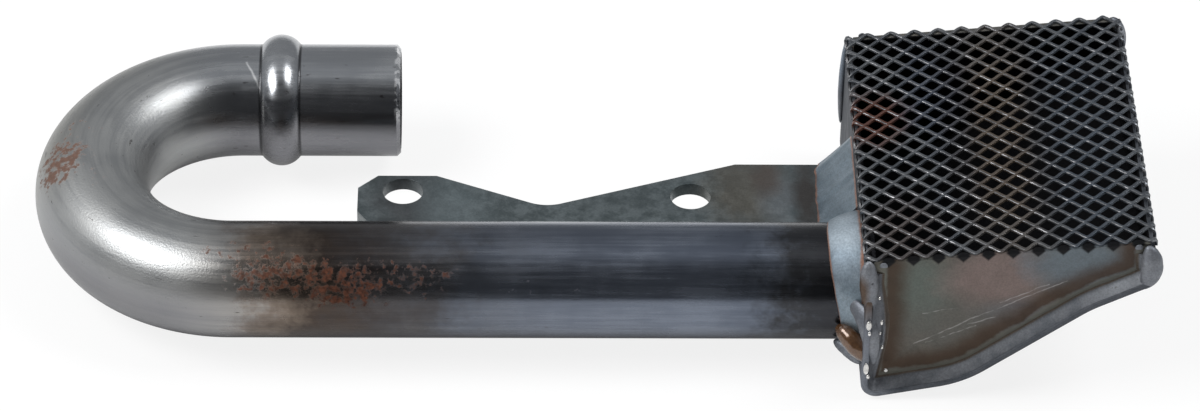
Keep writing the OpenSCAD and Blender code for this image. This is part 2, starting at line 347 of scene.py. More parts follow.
# The plate stands above the strip's rim; its upper edge is the seat of the screen
outline = plate_outline("near_side_plate")
SEAT_START = outline[0]
SEAT_END = outline[-1]
SEAT_RISE = math.atan2(SEAT_END[1] - SEAT_START[1], SEAT_END[0] - SEAT_START[0])
rim_line = outline[1:-1]
RIM_START = rim_line[0]
RIM_END = rim_line[-1]
TURNED_H = np.linalg.norm(SEAT_START - RIM_START)


def cheek():
    """Near side plate as a grid between its floor line and its seat, with front, back and closed edges.

    The attribute "edge" is the distance of each point from the strip that the plate is welded to.
    """
    columns, rows = 150, 60
    x = np.linspace(RIM_START[0] + 0.05 * MM, RIM_END[0] - 0.05 * MM, columns)
    floor_z = np.interp(x, rim_line[:, 0], rim_line[:, 1])
    seat_z = SEAT_START[1] + (x - SEAT_START[0]) * math.tan(SEAT_RISE)
    share = np.linspace(0, 1, rows)
    z = floor_z[:, None] + (seat_z - floor_z)[:, None] * share
    x = np.broadcast_to(x[:, None], z.shape)
    front = np.stack([x, np.full_like(z, NEAR_Y), z], -1)
    back = np.stack([x, np.full_like(z, NEAR_Y + SHEET_T), z], -1)
    loop = np.concatenate([front, back[:, ::-1]], 1)
    line = evenly(rim_line, 400)[0]
    flat = np.stack([x, z], -1).reshape(-1, 1, 2)
    edge = np.linalg.norm(flat - line, axis=2).min(1).reshape(columns, rows)
    mesh = new_mesh("near_cheek", loop, run_faces(columns, 2 * rows))
    note(mesh, "edge", np.concatenate([edge, edge[:, ::-1]], 1))
    return link("near_cheek", mesh)


def backed(front, depth):
    """Sections of a bead's face, each with one more point at depth for its hidden side."""
    return np.concatenate([front, np.full((len(front), 1), depth)], 1)


def seam_bead(name, face_y, outward, seed):
    """Weld in the corner between a side plate and the strip's lip.

    The path is the plate's outline. The section falls in a hollow curve from the lip's edge to the toe on
    the plate. On the end wall it is broader and carries a second ridge near its toe, after a groove.
    """
    stations, across = 420, 18
    line, ahead, length = evenly(rim_line, stations)
    inward = np.stack([-ahead[:, 1], ahead[:, 0]], -1)
    t = np.linspace(0, 1, stations)
    wall_end = (RIM_START[1] - rim_line[:, 1].min()) / length
    wall = np.clip((wall_end - t) / wall_end * 1.6, 0, 1)
    corner = wall * np.clip(t / wall_end * 1.7, 0.15, 1)
    tip = hump(t, 1, TIP_SPREAD / length)
    leg = FLOOR_LEG + (CORNER_LEG - FLOOR_LEG) * corner + TIP_EXTRA * tip
    leg = leg * (1 + 0.10 * uneven(t, 26, seed))
    share = np.linspace(0, 1, across)
    height = (LIP_W - LIP_BARE) * (1 - share) ** 2.3 * (1 + 0.05 * uneven(t, 20, seed + 1))[:, None]
    ridge = RIDGE_H * (corner * (1 + 0.25 * uneven(t, 34, seed + 2)))[:, None] * hump(share, 0.74, 0.15)
    height = (height + ridge) * (1 - share ** 10)
    up = backed(leg[:, None] * share, -SUNK)
    x = line[:, :1] + inward[:, :1] * up
    z = line[:, 1:] + inward[:, 1:] * up
    y = face_y + outward * backed(height, -SUNK)
    toe = np.concatenate([share, [1.0]])
    return loft(name, np.stack([x, y, z], -1), toe)


def fillet(name, face, x, y, z, closed_path=False):
    """Bead in a corner; its section runs over the angles face from toe to toe, then behind them."""
    toe = np.append(2 * np.abs(face / (np.pi / 2) - 0.5), 1.0)
    return loft(name, np.stack([x, y, z], -1), toe, closed_path)


def ring_bead():
    """Fillet round the tube against the end wall: a broad ribbon, longest on top and short below.

    The section runs from the toe on the wall to the toe on the tube along a quarter of a superellipse.
    """
    angle = np.linspace(0, 2 * np.pi, 260, endpoint=False)
    t = angle / (2 * np.pi)
    leg = np.maximum(RING_LEG + RING_TOP * np.sin(angle), RING_LEAST)
    leg = leg + UNEVEN * uneven(t, 14, 3)
    rise = RING_RISE * (1 + 0.08 * uneven(t, 9, 5))
    face = np.linspace(0, np.pi / 2, 14)
    x = WALL_X + backed(-leg[:, None] * np.sin(face) ** 1.5, RING_IN_WALL)
    radius = TUBE_R + backed(rise[:, None] * np.cos(face) ** 1.4, -RING_IN_TUBE)
    y = PICKUP_Y - radius * np.cos(angle)[:, None]
    z = AXIS_Z + radius * np.sin(angle)[:, None]
    return fillet("tube_weld_bead", face, x, y, z, closed_path=True)


def drop(name, stops, radii, face, flat=1.0, seed=1):
    """Run of weld metal with tapered ends: an oval carried along a curve, flattened by flat along face.

    The curve is the Bezier curve of the stops, and the radius follows radii along it.
    """
    stations, around = 48, 24
    t = np.linspace(0, 1, stations)
    degree = len(stops) - 1
    terms = [math.comb(degree, i) * t ** i * (1 - t) ** (degree - i) for i in range(degree + 1)]
    share = np.stack(terms, -1)
    path = share @ np.array(stops) * MM
    ahead = unit(np.gradient(path, axis=0))
    top = unit(np.array(face) - (ahead @ np.array(face))[:, None] * ahead)
    side = np.cross(ahead, top)
    ends = np.sqrt(np.clip(1 - np.abs(2 * t - 1) ** 3, 0.0004, 1))
    radius = share @ np.array(radii) * MM * ends * (1 + 0.07 * uneven(t, 9, seed))
    loop = np.linspace(0, 2 * np.pi, around, endpoint=False)
    a = radius[:, None] * np.cos(loop)
    b = radius[:, None] * np.sin(loop) * flat
    return loft(name, carried(path, side, top, a, b), np.zeros(around), sharp=80)


def bracket_end_bead():
    """Broad fillet from the bracket's upper face up the end wall, a hollow quarter carried along y."""
    low, high = np.array(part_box("bracket_end_weld"))
    t = np.linspace(0, 1, 120)
    leg = (high[0] - low[0]) * (1 + 0.05 * uneven(t, 10, 31))
    rise = (high[2] - low[2]) * (1 + 0.05 * uneven(t, 8, 33))
    taper = 1 - 0.12 * hump(t, 1, 0.05)
    face = np.linspace(0, np.pi / 2, 14)
    x = backed(-(leg * taper)[:, None] * np.cos(face) ** 2.1, SUNK)
    z = backed((rise * taper)[:, None] * np.sin(face) ** 2.1, -SUNK)
    start = low[1] - END_BEAD_NEAR
    y = np.broadcast_to((start + (high[1] + END_BEAD_FAR - start) * t)[:, None], x.shape)
    return fillet("bracket_end_bead", face, high[0] + x, y, low[2] + z)


def stitch_bead(name, start, seed):
    """Short rippled fillet between the tube and the bracket's upper face, a crowned quarter along x."""
    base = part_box("bracket_stitch_welds")[0][2]
    t = np.linspace(0, 1, 160)
    ends = np.clip(np.minimum(t, 1 - t) * STITCH_L / STITCH_END, 0.03, 1) ** 0.5
    ripple = 0.06 * np.sin(2 * np.pi * t * STITCH_L / RIPPLE)
    grow = (ends * (1 + ripple + 0.08 * uneven(t, 7, seed)))[:, None]
    face = np.linspace(0, np.pi / 2, 9)
    out = backed(STITCH_LEG * grow * np.cos(face), -2 * SUNK)
    up = backed(STITCH_LEG * grow * np.sin(face), -SUNK)
    x = np.broadcast_to((start + STITCH_L * t)[:, None], out.shape)
    y = PICKUP_Y + TUBE_R - STITCH_INSET + out
    return fillet(name, face, x, y, base + up)


def turned_down(along, height, end):
    """Bends a strip down by a right angle past end - FOLD_R, about an axis FOLD_R under it."""
    past = np.maximum(along - (end - FOLD_R), 0)
    angle = np.minimum(past / FOLD_R, np.pi / 2)
    straight = past - FOLD_R * angle
    reach = FOLD_R + height
    bent_along = end - FOLD_R + reach * np.sin(angle) + straight * np.cos(angle)
    bent_height = -FOLD_R + reach * np.cos(angle) - straight * np.sin(angle)
    inside = past <= 0
    return np.where(inside, along, bent_along), np.where(inside, height, bent_height)


def screen_mesh():
    """Expanded metal as wavy strands side by side, each a flat strip that is tilted about its length.

    Strand k swings between bond row k and bond row k + 1. Its wave is a mean of a zigzag and of the sine
    of that zigzag. It is low where it is near and high where it is far, so that it meets its
    neighbours at the bonds. Where it runs down to the right its near upper edge is broken by a
    burr. Both ends are turned down onto the strip.
    """
    length = (TIP_X - WALL_X) / math.cos(SEAT_RISE)
    width_y = SCOOP_W - NEAR_INSET + FAR_REACH
    half_rows = round(2 * width_y / PITCH_Y)
    half_x = PITCH_X / 2
    half_y = width_y / half_rows
    over = TURNED_H - FOLD_R * (2 - np.pi / 2)
    swing = half_y / 2 - BOND_SHARE * STRAND_W / 2 * math.cos(STRAND_TILT)
    lift = BOND_SHARE * STRAND_W / 2 * math.sin(STRAND_TILT)
    wide = np.array([0, math.cos(STRAND_TILT), -math.sin(STRAND_TILT)])
    half_w = STRAND_W / 2
    half_t = STRAND_T / 2
    stations = round((length + 2 * over) / half_x * 12)
    p = np.linspace(-over, length + over, stations)
    corners = 5
    points = []
    faces = []
    for k in range(half_rows):
        turns = (p + LATTICE_SHIFT) / half_x + k
        zigzag = 2 * np.abs(turns % 2 - 1) - 1
        level = np.clip(zigzag * np.where(zigzag < 0, NEAR_BOND, 1), -1, 1)
        wave = (1 - ROUNDED) * level + ROUNDED * np.sin(np.pi / 2 * level)
        centre = np.stack([p, (k + 0.5) * half_y + swing * wave, lift * wave], -1)
        ahead = unit(np.gradient(centre, axis=0))
        width = unit(wide - (ahead @ wide)[:, None] * ahead)
        thick = np.cross(ahead, width)
        burr = BURR * np.clip(-2.5 * ahead[:, 1], 0.05, 1)
        full = np.full(stations, half_w)
        across = np.stack([full, burr - full, -full, -full, full], -1)
        thin = np.full(stations, half_t)
        above = np.stack([thin, thin, thin - burr, -thin, -thin], -1)
        ring = carried(centre, width, thick, across, above)
        x, h = turned_down(ring[..., 0], ring[..., 2], length)
        x, h = turned_down(length - x, h, length)
        points.append(np.stack([length - x, ring[..., 1], h], -1).reshape(-1, 3))
        faces += run_faces(stations, corners, first=k * stations * corners)
    flat = np.concatenate(points)
    along = flat[:, 0] - SHEET_T / math.cos(SEAT_RISE)
    height = flat[:, 2] + STRAND_T / 2
    x = SEAT_START[0] + along * math.cos(SEAT_RISE) - height * math.sin(SEAT_RISE)
    z = SEAT_START[1] + along * math.sin(SEAT_RISE) + height * math.cos(SEAT_RISE)
    placed = np.stack([x, NEAR_Y + NEAR_INSET + flat[:, 1], z], -1)
    return link("screen_mesh", new_mesh("screen_mesh", placed, faces, 32))


def half_balls(name, balls):
    """Flattened half balls; each is a middle, two half axes in its base and the vector to its top."""
    rows, columns = 8, 16
    polar = np.linspace(0.15, np.pi * 0.6, rows)[:, None, None]
    around = np.linspace(0, 2 * np.pi, columns, endpoint=False)[None, :, None]
    points = []
    faces = []
    for middle, across, along, top in balls:
        base = np.cos(around) * np.array(across) + np.sin(around) * np.array(along)
        block = np.array(middle) + np.sin(polar) * base + np.cos(polar) * np.array(top)
        faces += run_faces(rows, columns, first=len(points) * rows * columns)
        points.append(block.reshape(-1, 3))
    mesh = new_mesh(name, np.concatenate(points), faces, 80)
    note(mesh, "toe", np.zeros(len(mesh.vertices)))
    return link(name, mesh)


def spatter():
    """Small bright drops of weld metal on the near lip's corner."""
    balls = [((x * MM, y * MM, z * MM), (wide * MM, 0, 0), (0, 0, tall * MM), (0, -SPATTER_H, 0))
             for x, y, z, wide, tall in SPATTER]
    return half_balls("weld_spatter", balls)


def tack_caps():
    """Low caps at the screen's four corners, each smaller than the tack it stands for."""
    points = node_points("screen_tack_welds")
    side = points > (points.min(0) + points.max(0)) / 2
    balls = []
    for right in (False, True):
        for far in (False, True):
            own = points[(side[:, 0] == right) & (side[:, 1] == far)]
            low = own.min(0)
            half = (own.max(0) - low) / 2
            balls.append((low + half * [1, 1, TACK_SEAT], *np.diag(TACK_SHARE * half)))
    return half_balls("screen_tack_caps", balls)


# Shader nodes

class Field:
    """Output of a shader node; a sum, difference, product or quotient of fields is one math node each."""

    # A numpy number on the left leaves the sum to the field
    __array_ufunc__ = None

    def __init__(self, socket):
        self.socket = socket
        self.tree = socket.id_data

    def __add__(self, other):
        return calc("ADD", self, other)

    def __radd__(self, other):
        return calc("ADD", other, self)

    def __sub__(self, other):
        return calc("SUBTRACT", self, other)

    def __rsub__(self, other):
        return calc("SUBTRACT", other, self)

    def __mul__(self, other):
        return calc("MULTIPLY", self, other)

    def __truediv__(self, other):
        return calc("DIVIDE", self, other)

    def __abs__(self):
        return calc("ABSOLUTE", self)


def feed(node, inputs):
    """Sets a node's sockets, each by its name or number, to a value or to a field."""
    for key, value in inputs.items():
        if isinstance(value, Field):
            value.tree.links.new(value.socket, node.inputs[key])
        else:
            node.inputs[key].default_value = value
    return node


def new_node(tree, kind, inputs, **settings):
    """Adds a node."""
    node = tree.nodes.new("ShaderNode" + kind)
    for key, value in settings.items():
        setattr(node, key, value)
    return feed(node, inputs)


def put(tree, kind, inputs, output=0, **settings):
    """One output of a new node."""
    return Field(new_node(tree, kind, inputs, **settings).outputs[output])


def tree_of(*values):
    """Node tree of the first field among values."""
    return next(value.tree for value in values if isinstance(value, Field))


def calc(operation, a, b=0.0, clamp=False):
    """One math node."""
    return put(tree_of(a, b), "Math", {0: a, 1: b}, operation=operation, use_clamp=clamp)


def vector_calc(operation, a, b=(0, 0, 0), output=0):
    """One vector math node; its number, if it gives one, is the output Value."""
    return put(tree_of(a, b), "VectorMath", {0: a, 1: b}, output, operation=operation)


def xyz(vector):
    """The three parts of a vector."""
    return [Field(part) for part in new_node(vector.tree, "SeparateXYZ", {0: vector}).outputs]


def blend(factor, a, b, kind="MIX"):
    """Colour a turning into colour b, or into the result of another way to mix them."""
    a, b = (colour if isinstance(colour, Field) else (*colour, 1) for colour in (a, b))
    inputs = {0: factor, 6: a, 7: b}
    return put(tree_of(factor, a, b), "Mix", inputs, 2, data_type="RGBA", blend_type=kind)


def between(value, low, high, to_low=0.0, to_high=1.0):
    """Value mapped smoothly from the range low to high onto another range."""
    inputs = {0: value, 1: low, 2: high, 3: to_low, 4: to_high}
    return put(value.tree, "MapRange", inputs, interpolation_type="SMOOTHSTEP")


def noise(place, scale, detail=4.0, roughness=0.6):
    """Noise with values from 0 to 1."""
    inputs = {"Vector": place, "Scale": scale, "Detail": detail, "Roughness": roughness}
    return put(place.tree, "TexNoise", inputs)


def ramp(value, stops):
    """Colour picked from a row of positions and colours."""
    node = new_node(value.tree, "ValToRGB", {0: value})
    elements = node.color_ramp.elements
    while len(elements) < len(stops):
        elements.new(0.5)
    for element, (position, colour) in zip(elements, stops):
        element.position = position
        element.color = (*colour, 1)
    return Field(node.outputs[0])


def joined(*masks):
    """The strongest of several masks."""
    total = masks[0]
    for mask in masks[1:]:
        total = calc("MAXIMUM", total, mask)
    return total


def new_group(name, vectors, numbers):
    """Empty node group that gives a mask; returns its inputs, vectors first, and its end node."""
    tree = bpy.data.node_groups.new(name, "ShaderNodeTree")
    for labels, kind in ((vectors, "Vector"), (numbers, "Float")):
        for label in labels:
            tree.interface.new_socket(label, in_out="INPUT", socket_type="NodeSocket" + kind)
    tree.interface.new_socket("Mask", in_out="OUTPUT", socket_type="NodeSocketFloat")
    given = tree.nodes.new("NodeGroupInput").outputs
    return [Field(given[label]) for label in vectors + numbers], tree.nodes.new("NodeGroupOutput")


def use(group, **inputs):
    """Places a node group; returns its output."""
    node = inputs["Vector"].tree.nodes.new("ShaderNodeGroup")
    node.node_tree = group
    return Field(feed(node, inputs).outputs[0])


def make_blot():
    """Soft blot: 1 inside an ellipsoid about Centre with half axes Reach; Rough moves its edge."""
    given, end = new_group("blot", ["Vector", "Centre", "Reach"], ["Rough", "Soft"])
    place, centre, half, rough, soft = given
    share = vector_calc("DIVIDE", vector_calc("SUBTRACT", place, centre), half)
    inside = (1.0 - vector_calc("LENGTH", share, output="Value") - rough) / soft
    feed(end, {"Mask": calc("ADD", inside, 0.5, clamp=True)})
    return place.tree


def make_flakes():
    """Irregular flakes: the peaks of a noise, more where Amount is higher and none where it is 0."""
    given, end = new_group("flakes", ["Vector"], ["Scale", "Amount", "Soft"])
    place, scale, amount, soft = given
    limit = 0.82 - amount * 0.36
    mask = between(noise(place, scale, 4.0, 0.66), limit, limit + soft)
    feed(end, {"Mask": mask * calc("GREATER_THAN", amount, 0.01)})
    return place.tree


def make_scratch():
    """Fine broken line from From to To: near the segment, wavering and interrupted by noise."""
    given, end = new_group("scratch", ["Vector", "From", "To"], ["Width"])
    place, start, stop, width = given
    waver = put(place.tree, "TexNoise", {"Vector": place, "Scale": 260.0, "Detail": 3.0}, "Color")
    waver = vector_calc("MULTIPLY", vector_calc("SUBTRACT", waver, (0.5, 0.5, 0.5)), (1.2 * MM,) * 3)
    line = vector_calc("SUBTRACT", stop, start)
    away = vector_calc("SUBTRACT", vector_calc("ADD", place, waver), start)
    top = vector_calc("DOT_PRODUCT", away, line, "Value")
    bottom = vector_calc("DOT_PRODUCT", line, line, "Value")
    share = calc("DIVIDE", top, bottom, clamp=True)
    foot = put(place.tree, "VectorMath", {0: line, "Scale": share}, operation="SCALE")
    gap = vector_calc("DISTANCE", away, foot, "Value")
    inside = calc("SUBTRACT", 1.0, gap / width, clamp=True)
    feed(end, {"Mask": inside * between(noise(place, 260.0, 2.0), 0.30, 0.55)})
    return place.tree


BLOT = make_blot()
FLAKES = make_flakes()
SCRATCH = make_scratch()


def new_material(name, **constants):
    """Material, its Principled shader with some sockets set, and the place in the part's frame."""
    material = bpy.data.materials.new(name)
    material.use_nodes = True
    shader = material.node_tree.nodes["Principled BSDF"]
    feed(shader, {key.replace("_", " "): value for key, value in constants.items()})
    return material, shader, put(material.node_tree, "TexCoord", {}, "Object")


def noted(tree, name, output="Fac"):
    """Reads an attribute that a piece carries."""
    return put(tree, "Attribute", {}, output, attribute_name=name)


def facing(place, way):
    """Dot product of a way with the surface's outward direction."""
    return vector_calc("DOT_PRODUCT", way, put(place.tree, "TexCoord", {}, "Normal"), "Value")


def inside_scoop(place):
    """1 on the faces that look into the scoop's chamber, 0 on its outside."""
    middle = ((WALL_X + TIP_X) / 2, (NEAR_Y + FAR_Y) / 2, SEAT_START[1])
    inward = facing(place, vector_calc("SUBTRACT", middle, place))
    across = xyz(place)[1]
    clear = 0.3 * MM
    past_near = calc("GREATER_THAN", across, NEAR_Y + SHEET_T - clear)
    past_far = calc("LESS_THAN", across, FAR_Y - SHEET_T + clear)
    return calc("GREATER_THAN", inward, 0.0) * past_near * past_far


def bump(shader, height, depth):
    """Feeds a height into the shader's normal."""
    inputs = {"Height": height, "Strength": 1.0, "Distance": depth}
    feed(shader, {"Normal": put(height.tree, "Bump", inputs)})


def rough_edge(place, scale, ragged):
    """Noise about 0 that makes the edges of blots ragged."""
    return (noise(place, scale, 4.0, 0.7) - 0.5) * (4 * ragged)


def blot(place, middle, half, rough, soft=0.8):
    """One blot; its middle and half axes are in millimetres."""
    centre, reach = (tuple(np.array(vector) * MM) for vector in (middle, half))
    return use(BLOT, Vector=place, Centre=centre, Reach=reach, Rough=rough, Soft=soft)


def scratches(place, lines, width):
    """Scratches; their ends are in millimetres and their width is in metres."""
    ends = [[tuple(np.array(point) * MM) for point in line] for line in lines]
    return joined(*[use(SCRATCH, Vector=place, From=start, To=stop, Width=width) for start, stop in ends])


def tinted(place, colour, zones, scale=120.0, ragged=0.3):
    """Lays zones of tint over a colour; each has a middle, half axes, a tint and a strength."""
    rough = rough_edge(place, scale, ragged)
    for middle, half, tint, strength in zones:
        colour = blend(blot(place, middle, half, rough) * strength, colour, tint)
    return colour


# Places below are in millimetres in the part's frame

# Rust on the tube: middle, half axes and amount
TUBE_RUST = [
    ((-107.5, -0.5, 11.5), (7.5, 9.0, 8.0), 1.25),
    ((-104.0, 7.5, 12.5), (7.0, 8.0, 6.0), 0.75),
    ((-100.5, -6.0, 14.5), (8.0, 9.0, 4.0), 0.65),
    ((-64.0, -33.0, 13.0), (14.0, 4.5, 4.0), 0.85),
    ((-57.0, -37.5, 10.0), (14.0, 5.5, 6.5), 1.15),
    ((-44.0, -38.5, 8.5), (14.0, 5.5, 7.0), 1.15),
    ((-31.0, -37.5, 9.5), (14.0, 4.5, 5.5), 0.9),
    ((-62.0, -40.0, 1.5), (10.0, 4.0, 3.0), 0.6),
    ((-5.0, -38.5, 8.0), (26.0, 4.0, 3.0), 0.5),
]

# Drops of weld metal on the near lip's corner: x, y, z, half width and half height
SPATTER = [
    (68.7, -48.9, 5.8, 0.62, 1.25), (68.9, -48.9, 3.6, 0.35, 0.6), (68.7, -48.5, -6.6, 0.62, 1.6),
    (69.2, -48.5, -8.8, 0.4, 0.6), (70.7, -47.9, 12.7, 0.3, 0.45), (71.5, -47.6, 5.7, 0.35, 0.7),
    (71.3, -47.6, 2.7, 0.25, 0.4), (71.9, -47.4, -1.3, 0.35, 0.6), (73.1, -47.2, -8.0, 0.45, 0.5),
]

# Runs of weld metal at the scoop's corners: stops, radii, the way they face, flatness
NEAR, LEFT, RIGHT = (0, -1, 0), (-1, 0, 0), (1, 0, 0)
LOBES = {
    "near_left_lobe": (
        [(68.1, -46.4, 21.6), (68.0, -47.2, 16.5), (69.2, -46.9, 7.5)], [1.5, 2.6, 1.3], NEAR, 0.75),
    "near_right_lobe": (
        [(127.0, -46.4, 26.0), (130.0, -47.4, 20.5), (126.6, -47.0, 14.8)], [1.8, 3.1, 1.4], NEAR, 0.75),
    "far_right_lobe": (
        [(126.8, 36.2, 25.2), (130.0, 36.0, 24.8), (129.4, 27.0, 23.8)], [0.9, 1.4, 0.7], RIGHT, 0.8),
    "far_left_lobe": (
        [(68.2, 36.2, 20.2), (67.0, 36.8, 12.0), (67.5, 36.6, -5.0)], [0.6, 1.1, 0.8], LEFT, 0.9),
    "under_weld_drop": (
        [(62.2, -38.8, -6.6), (65.4, -41.2, -7.4), (68.0, -44.0, -8.8)], [1.3, 1.8, 1.3],
        (-1, -1, 0), 0.8),
}
RING_FLOW = (
    [(64.4, -39.8, 5.6), (66.6, -43.8, 6.4), (69.4, -47.4, 6.0), (69.4, -47.7, 0.5), (70.2, -47.7, -6.0)],
    [1.6, 2.1, 2.5, 2.4, 1.4], (-0.45, -0.85, 0.3), 0.42)
SECOND_WELD = (
    [(62.4, -41.4, -0.4), (66.0, -45.2, -1.0), (68.6, -47.0, -5.6)], [1.8, 2.7, 1.8],
    (-1, -1, 0.6), 0.9)

# Tints along the toes of welds
COPPER = (0.30, 0.15, 0.095)
BROWN = (0.085, 0.062, 0.042)

# Near black of the scoop's inside: its dark scale, with painted shade where little light gets in
INSIDE_BLACK = (0.006, 0.006, 0.007)

# Heat tints: middle, half axes, linear colour, strength; the ring weld's are painted highlight and shade
# instead
BRACKET_TINTS = [
    ((-31.0, -5.0, 0.0), (9.0, 14.0, 6.0), (0.075, 0.078, 0.082), 0.8),
    ((44.0, 2.0, 0.0), (9.0, 16.0, 6.0), (0.125, 0.115, 0.095), 0.8),
    ((51.5, -2.0, 0.0), (4.5, 9.0, 6.0), (0.17, 0.19, 0.205), 0.7),
    ((48.8, 6.0, 0.0), (3.0, 7.0, 6.0), (0.110, 0.088, 0.076), 0.8),
    ((57.6, -2.0, 0.0), (2.8, 16.0, 6.0), (0.060, 0.052, 0.048), 0.9),
    ((-21.0, -5.0, 0.0), (8.0, 12.0, 6.0), (0.17, 0.205, 0.215), 0.7),
]
CHEEK_TINTS = [
    ((79.0, -45.3, 13.0), (8.0, 6.0, 9.0), (0.098, 0.118, 0.105), 0.75),
    ((96.0, -45.3, 16.0), (11.0, 6.0, 8.0), (0.170, 0.128, 0.118), 0.85),
    ((114.0, -45.3, 20.0), (11.0, 6.0, 7.0), (0.115, 0.140, 0.160), 0.85),
    ((101.0, -45.3, 6.0), (8.0, 6.0, 4.0), (0.105, 0.108, 0.118), 0.7),
    ((88.0, -45.3, 4.0), (12.0, 6.0, 6.0), (0.100, 0.098, 0.090), 0.5),
]
SCREEN_TINTS = [
    ((71.5, 5.0, 21.0), (8.0, 9.0, 9.0), (0.17, 0.055, 0.028), 0.8),
    ((99.0, -6.0, 24.0), (9.0, 40.0, 9.0), (0.165, 0.12, 0.082), 0.75),
    ((76.0, -36.0, 22.0), (8.0, 12.0, 9.0), (0.11, 0.075, 0.06), 0.6),
    ((85.0, 10.0, 22.0), (7.0, 16.0, 9.0), (0.08, 0.10, 0.15), 0.5),
    ((90.0, 0.0, 23.0), (4.0, 30.0, 9.0), (0.05, 0.05, 0.06), 0.6),
    ((107.5, -20.0, 24.0), (4.0, 30.0, 9.0), (0.06, 0.06, 0.065), 0.6),
    ((117.0, -6.0, 25.0), (9.0, 40.0, 9.0), (0.08, 0.105, 0.14), 0.6),
]
STRIP_TINTS = [
    ((67.8, 12.0, 8.0), (1.4, 40.0, 20.0), (0.095, 0.100, 0.110), 0.9),
    ((68.0, -47.0, 11.0), (2.0, 4.0, 5.0), (0.085, 0.048, 0.024), 0.8),
    ((69.5, -48.0, -5.0), (5.0, 4.0, 12.0), (0.200, 0.215, 0.245), 0.9),
]
SEAM_TINTS = [
    ((70.5, -47.0, -4.0), (4.0, 4.0, 14.0), (0.185, 0.195, 0.215), 0.9),
    ((124.0, -47.0, 16.0), (8.0, 4.0, 9.0), (0.150, 0.158, 0.172), 0.8),
]
LOBE_TINTS = [
    ((66.6, -47.0, 13.0), (1.6, 4.0, 5.0), (0.085, 0.048, 0.024), 0.85),
    ((66.8, 36.6, 14.0), (3.0, 4.0, 8.0), (0.22, 0.26, 0.31), 0.8),
]
# Ring weld: the pale zone at its top is a painted highlight, the dark zone further down on its near side
# is painted shade
RING_PAINTED_LIGHT = [
    ((64.0, -29.0, 17.5), (5.0, 8.0, 4.0), (0.40, 0.46, 0.51), 0.85),
    ((62.5, -37.5, 12.5), (5.5, 5.5, 4.5), (0.120, 0.148, 0.175), 0.85),
]
CHEEK_SCRATCHES = [((79.0, -45.3, -2.2), (95.5, -45.3, 7.4)), ((95.5, -45.3, 7.4), (110.8, -45.3, 15.5)),
                   ((81.5, -45.3, -1.7), (92.0, -45.3, 3.0)), ((90.1, -45.3, 3.2), (96.0, -45.3, 5.4)),
                   ((97.0, -45.3, 9.6), (107.0, -45.3, 14.6)), ((80.5, -45.3, 6.6), (88.0, -45.3, 7.8))]
BEAD_SCRATCHES = [((-67.6, 33.8, 0.0), (-64.0, 26.6, 0.0)), ((-64.0, 26.6, 0.0), (-63.5, 22.0, 0.0))]


def speckled(place, colour, low=0.87, high=1.11):
    """Colour made darker and lighter by a fine grain."""
    grain = between(noise(place, 2200.0, 2.0, 0.7), 0.35, 0.65, low, high)
    grey = put(place.tree, "CombineColor", {0: grain, 1: grain, 2: grain})
    return blend(1.0, colour, grey, "MULTIPLY")


def streaks(place, cloud, streak):
    """Drawn steel: clouds mixed with streaks along X, as one tone from 0 to 1."""
    lines = noise(vector_calc("MULTIPLY", place, (0.04, 1.0, 1.0)), streak, 3.0, 0.65)
    return between(noise(place, cloud, 3.0, 0.6) * 0.5 + lines * 0.5, 0.36, 0.64)


def rust_colour(place, scale):
    """Rust: mottled colour, from dark brown to dull orange."""
    field = noise(place, scale, 3.0, 0.7)
    return ramp(field, [(0.34, (0.022, 0.009, 0.006)), (0.66, (0.115, 0.042, 0.024))])


